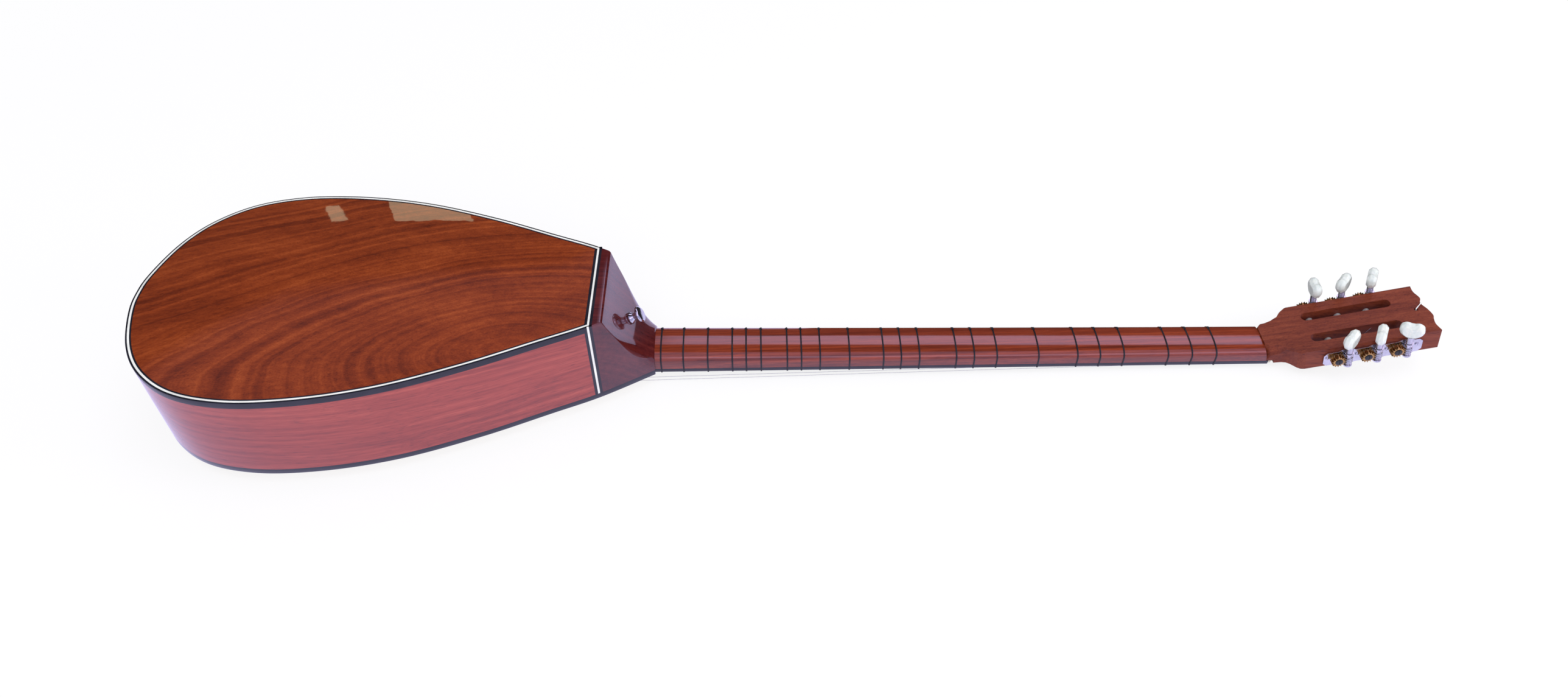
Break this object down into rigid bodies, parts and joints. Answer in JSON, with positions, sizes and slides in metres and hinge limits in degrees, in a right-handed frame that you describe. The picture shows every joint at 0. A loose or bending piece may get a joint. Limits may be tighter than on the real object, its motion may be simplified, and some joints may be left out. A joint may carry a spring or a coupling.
{
  "type": "electric long-necked lute",
  "caption": "Electric saz: long neck with tied frets, slotted headstock with worm-gear machine heads, flat-backed teardrop body",
  "frame": {"origin": "Middle of the bounding box in plan, at the level of the surface the instrument lies on, which is the underside of the bridge.", "axes": "+X from the tail to the headstock along the strings, +Y to the treble side, +Z out of the back: the instrument lies face down."},
  "size_m": [1.0884, 0.2444, 0.099],
  "materials": {
    "body_mahogany": "high-gloss clear lacquer over orange-brown mahogany with dark streaks",
    "heel_rosewood": "high-gloss lacquer over dark red-brown hardwood",
    "soundboard_spruce": "clear satin lacquer over straight-grained spruce",
    "dark_binding": "black binding strip, polished with the lacquer",
    "white_line": "white line let into the dark binding",
    "inner_wood": "bare sanded light wood",
    "neck_wood": "gloss lacquer over orange-brown hardwood",
    "ebony": "near-black hardwood, oiled",
    "bone": "polished bone",
    "bridge_wood": "oiled dark hardwood",
    "black_plastic": "black moulded cover",
    "knob_plastic": "black moulded knob",
    "nickel": "nickel plate",
    "tuner_nickel": "nickel-plated pressed and turned steel",
    "gear_brass": "cut brass, slightly dull",
    "post_steel": "turned steel",
    "pearl": "white pearl plastic, softly polished",
    "string_steel": "plain steel wire",
    "head_wood": "matte red-brown hardwood",
    "nylon": "clear nylon cord",
    "button_chrome": "polished chrome"
  },
  "bodies": {
    "instrument": {"back_plate": "body_mahogany", "rib_bass": "body_mahogany", "rib_treble": "body_mahogany", "soundboard": "soundboard_spruce", "top_binding": "dark_binding", "back_binding": "dark_binding", "back_purfling": "white_line", "heel_block": "heel_rosewood", "tail_block": "inner_wood", "back_brace_upper": "inner_wood", "back_brace_lower": "inner_wood", "top_brace": "inner_wood", "top_lining": "inner_wood", "back_lining": "inner_wood", "neck_shaft": "neck_wood", "fingerboard": "ebony", "nut": "bone", "bridge": "bridge_wood", "tailpiece": "ebony", "pickup": "black_plastic", "endpin_jack": "nickel", "strap_button": "button_chrome", "volume_pot": "nickel", "tone_pot": "nickel", "string_1": "string_steel", "string_2": "string_steel", "string_3": "string_steel", "string_4": "string_steel", "string_5": "string_steel", "string_6": "string_steel", "headstock": "head_wood", "tuner_plate_bass": "tuner_nickel", "tuner_plate_treble": "tuner_nickel", "hanging_loop": "nylon"},
    "tuner_drive_1": {"tuner_button_1": "pearl", "tuner_worm_1": "tuner_nickel"},
    "tuner_winder_1": {"tuner_gear_1": "gear_brass", "tuner_post_1": "post_steel"},
    "tuner_drive_2": {"tuner_button_2": "pearl", "tuner_worm_2": "tuner_nickel"},
    "tuner_winder_2": {"tuner_gear_2": "gear_brass", "tuner_post_2": "post_steel"},
    "tuner_drive_3": {"tuner_button_3": "pearl", "tuner_worm_3": "tuner_nickel"},
    "tuner_winder_3": {"tuner_gear_3": "gear_brass", "tuner_post_3": "post_steel"},
    "tuner_drive_4": {"tuner_button_4": "pearl", "tuner_worm_4": "tuner_nickel"},
    "tuner_winder_4": {"tuner_gear_4": "gear_brass", "tuner_post_4": "post_steel"},
    "tuner_drive_5": {"tuner_button_5": "pearl", "tuner_worm_5": "tuner_nickel"},
    "tuner_winder_5": {"tuner_gear_5": "gear_brass", "tuner_post_5": "post_steel"},
    "tuner_drive_6": {"tuner_button_6": "pearl", "tuner_worm_6": "tuner_nickel"},
    "tuner_winder_6": {"tuner_gear_6": "gear_brass", "tuner_post_6": "post_steel"},
    "volume_control": {"volume_knob": "knob_plastic"},
    "tone_control": {"tone_knob": "knob_plastic"}
  },
  "joints": [
    {"name": "button_turn_1", "type": "hinge", "parent": "instrument", "child": "tuner_drive_1", "pos_m": [0.46817, -0.03265, 0.02506], "axis": [-0.225, 0, 0.9744], "continuous": true},
    {"name": "post_turn_1", "type": "hinge", "parent": "instrument", "child": "tuner_winder_1", "pos_m": [0.46018, -0.0273, 0.02321], "axis": [0, 1, 0], "continuous": true},
    {"name": "button_turn_2", "type": "hinge", "parent": "instrument", "child": "tuner_drive_2", "pos_m": [0.49136, -0.03265, 0.03041], "axis": [-0.225, 0, 0.9744], "continuous": true},
    {"name": "post_turn_2", "type": "hinge", "parent": "instrument", "child": "tuner_winder_2", "pos_m": [0.48337, -0.0273, 0.02857], "axis": [0, 1, 0], "continuous": true},
    {"name": "button_turn_3", "type": "hinge", "parent": "instrument", "child": "tuner_drive_3", "pos_m": [0.51455, -0.03265, 0.03576], "axis": [-0.225, 0, 0.9744], "continuous": true},
    {"name": "post_turn_3", "type": "hinge", "parent": "instrument", "child": "tuner_winder_3", "pos_m": [0.50656, -0.0273, 0.03392], "axis": [0, 1, 0], "continuous": true},
    {"name": "button_turn_4", "type": "hinge", "parent": "instrument", "child": "tuner_drive_4", "pos_m": [0.46115, 0.03265, 0.02344], "axis": [-0.225, 0, 0.9744], "continuous": true},
    {"name": "post_turn_4", "type": "hinge", "parent": "instrument", "child": "tuner_winder_4", "pos_m": [0.45316, 0.0273, 0.02159], "axis": [0, 1, 0], "continuous": true},
    {"name": "button_turn_5", "type": "hinge", "parent": "instrument", "child": "tuner_drive_5", "pos_m": [0.48434, 0.03265, 0.02879], "axis": [-0.225, 0, 0.9744], "continuous": true},
    {"name": "post_turn_5", "type": "hinge", "parent": "instrument", "child": "tuner_winder_5", "pos_m": [0.47635, 0.0273, 0.02695], "axis": [0, 1, 0], "continuous": true},
    {"name": "button_turn_6", "type": "hinge", "parent": "instrument", "child": "tuner_drive_6", "pos_m": [0.50753, 0.03265, 0.03415], "axis": [-0.225, 0, 0.9744], "continuous": true},
    {"name": "post_turn_6", "type": "hinge", "parent": "instrument", "child": "tuner_winder_6", "pos_m": [0.49954, 0.0273, 0.0323], "axis": [0, 1, 0], "continuous": true},
    {"name": "volume_turn", "type": "hinge", "parent": "instrument", "child": "volume_control", "pos_m": [-0.45421, 0.07003, 0.01], "axis": [0, 0, -1], "range_deg": [-150, 150]},
    {"name": "tone_turn", "type": "hinge", "parent": "instrument", "child": "tone_control", "pos_m": [-0.41621, 0.08003, 0.01], "axis": [0, 0, -1], "range_deg": [-150, 150]}
  ],
  "couplings": [
    {"joint": "post_turn_1", "follows": "button_turn_1", "ratio": 0.066667},
    {"joint": "post_turn_2", "follows": "button_turn_2", "ratio": 0.066667},
    {"joint": "post_turn_3", "follows": "button_turn_3", "ratio": 0.066667},
    {"joint": "post_turn_4", "follows": "button_turn_4", "ratio": 0.066667},
    {"joint": "post_turn_5", "follows": "button_turn_5", "ratio": 0.066667},
    {"joint": "post_turn_6", "follows": "button_turn_6", "ratio": 0.066667}
  ]
}
